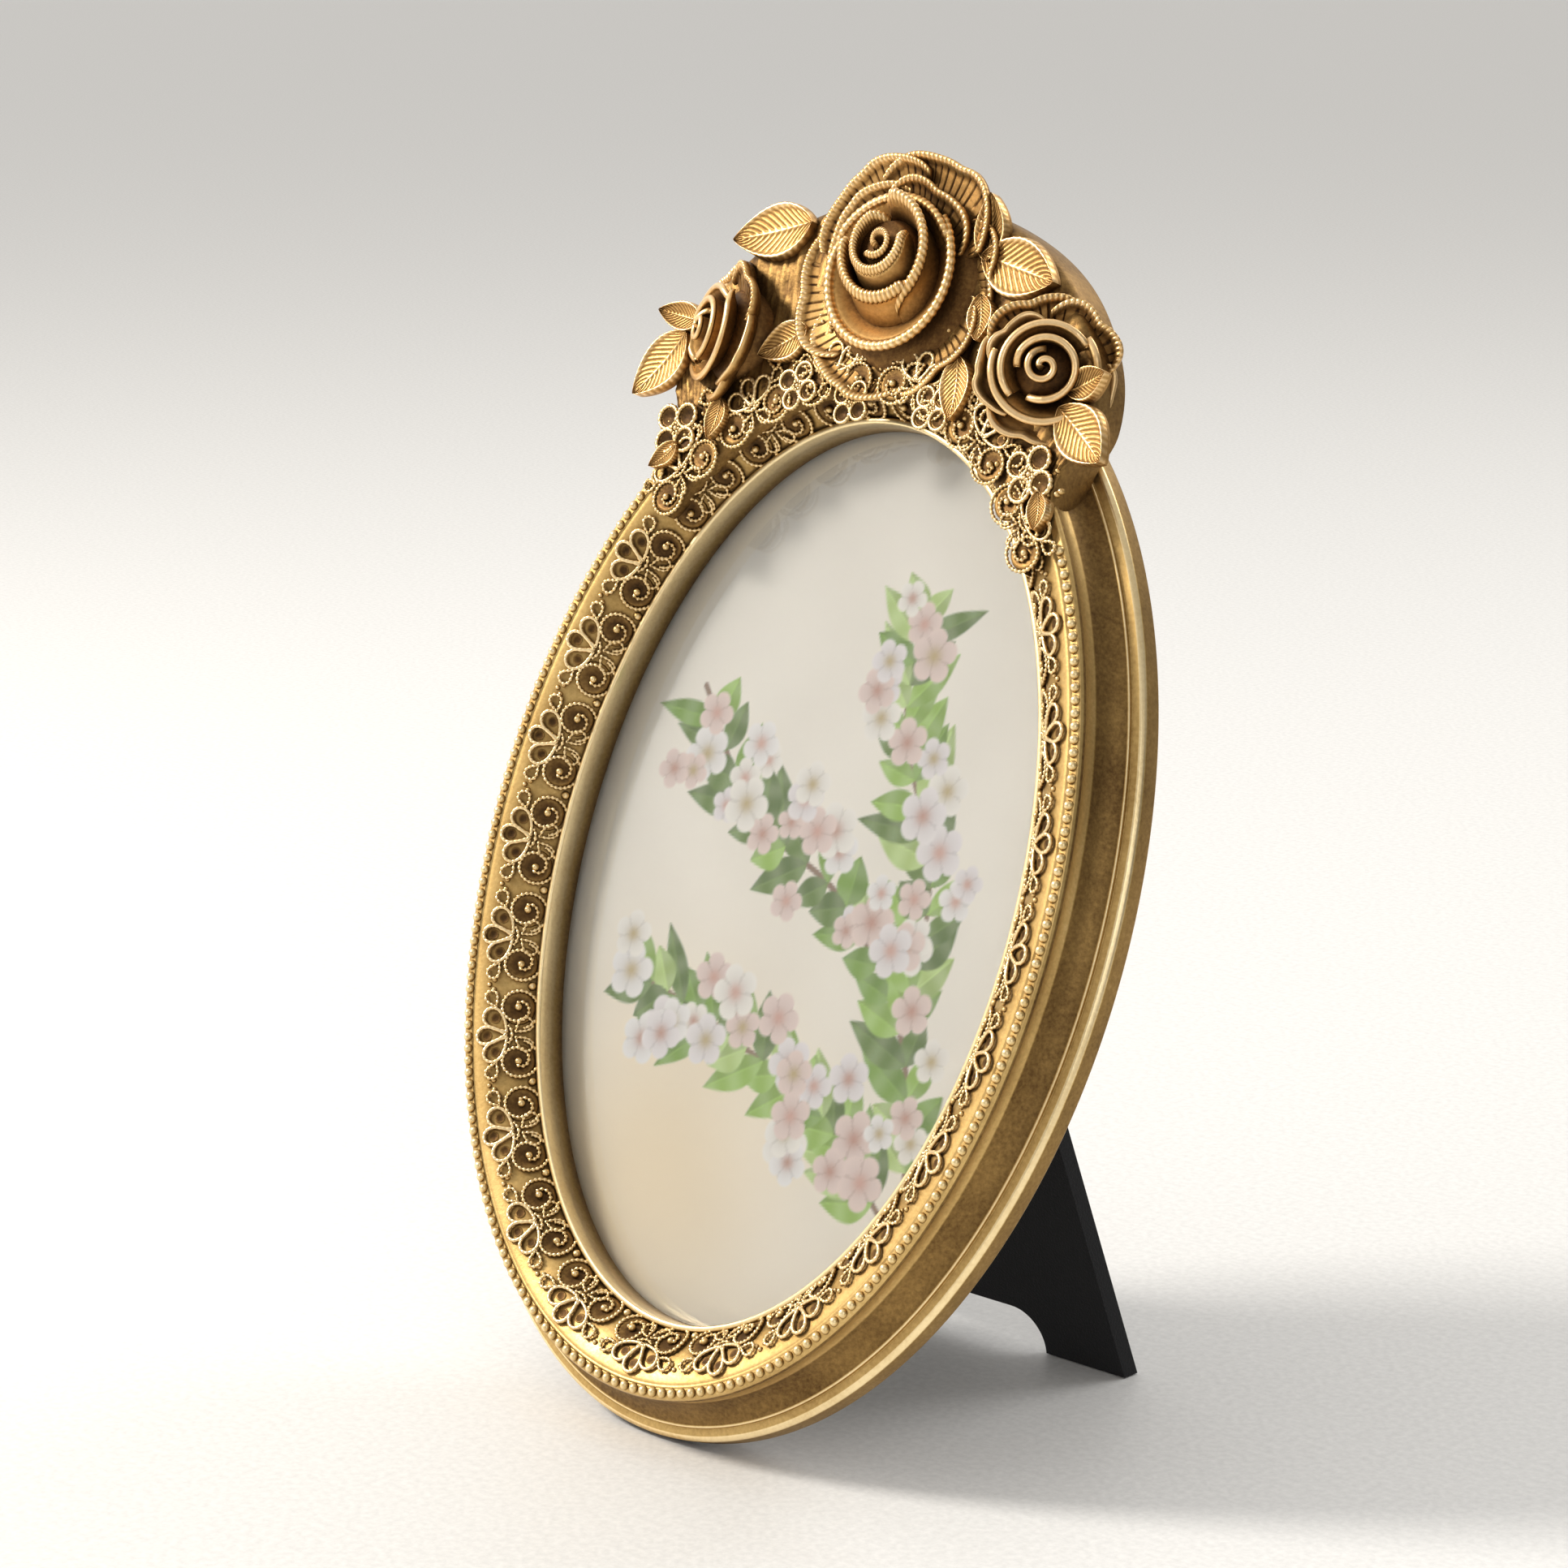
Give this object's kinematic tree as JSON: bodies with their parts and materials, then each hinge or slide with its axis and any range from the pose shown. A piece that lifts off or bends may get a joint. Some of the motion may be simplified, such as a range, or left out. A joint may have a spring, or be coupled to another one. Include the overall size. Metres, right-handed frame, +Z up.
{
  "type": "oval picture frame",
  "caption": "Oval gilt table frame with a crest of roses, filigree band and beaded edge, glazed, with a velvet back held by turn buttons and a folding strut.",
  "frame": {"origin": "middle of the small flat under the moulding that the frame stands on", "axes": "+Z up, +Y towards the back where the strut stands, +X to the right seen from the front"},
  "size_m": [0.126, 0.0768, 0.1888],
  "materials": {
    "gilt_resin": "antique gold over cast resin, dark in the recesses",
    "glass": "clear picture glass",
    "print": null,
    "card": "plain grey card",
    "fibreboard": "thin fibreboard",
    "velvet": "black flock velvet",
    "hinge_steel": "plated steel",
    "button_brass": "brass plated"
  },
  "bodies": {
    "root": {"frame_moulding": "gilt_resin", "sight_collar": "gilt_resin", "bead_row": "gilt_resin", "filigree_border": "gilt_resin", "border_studs": "gilt_resin", "crest_bed": "gilt_resin", "centre_rose_petals": "gilt_resin", "centre_rose_cup": "gilt_resin", "centre_rose_bud": "gilt_resin", "left_rose_petals": "gilt_resin", "left_rose_cup": "gilt_resin", "left_rose_bud": "gilt_resin", "right_rose_petals": "gilt_resin", "right_rose_cup": "gilt_resin", "right_rose_bud": "gilt_resin", "right_leaves": "gilt_resin", "left_leaves": "gilt_resin", "small_blossoms": "gilt_resin", "glass_pane": "glass", "picture_print": "print", "backing_card": "card", "backboard": "fibreboard", "backboard_velvet": "velvet", "hinge_fixed_leaf": "hinge_steel", "hinge_pin": "hinge_steel", "hinge_fixed_rivets": "hinge_steel", "turn_button_screws": "hinge_steel"},
    "strut": {"strut_board": "fibreboard", "strut_cover": "velvet", "hinge_moving_leaf": "hinge_steel", "hinge_moving_rivets": "hinge_steel"},
    "button_upper_right": {"turn_button_upper_right": "button_brass"},
    "button_upper_left": {"turn_button_upper_left": "button_brass"},
    "button_lower_left": {"turn_button_lower_left": "button_brass"},
    "button_lower_right": {"turn_button_lower_right": "button_brass"}
  },
  "joints": [
    {"name": "strut_fold", "type": "hinge", "parent": "root", "child": "strut", "pos_m": [0, 0.05022, 0.10763], "axis": [-1, 0, 0], "range_deg": [0, 29.9]},
    {"name": "button_upper_right_turn", "type": "hinge", "parent": "root", "child": "button_upper_right", "pos_m": [0.04283, 0.05415, 0.12164], "axis": [0, 0.9311, -0.3649], "continuous": true},
    {"name": "button_upper_left_turn", "type": "hinge", "parent": "root", "child": "button_upper_left", "pos_m": [-0.04283, 0.05415, 0.12164], "axis": [0, 0.9311, -0.3649], "continuous": true},
    {"name": "button_lower_left_turn", "type": "hinge", "parent": "root", "child": "button_lower_left", "pos_m": [-0.0476, 0.02431, 0.0455], "axis": [0, 0.9311, -0.3649], "continuous": true},
    {"name": "button_lower_right_turn", "type": "hinge", "parent": "root", "child": "button_lower_right", "pos_m": [0.0476, 0.02431, 0.0455], "axis": [0, 0.9311, -0.3649], "continuous": true}
  ]
}
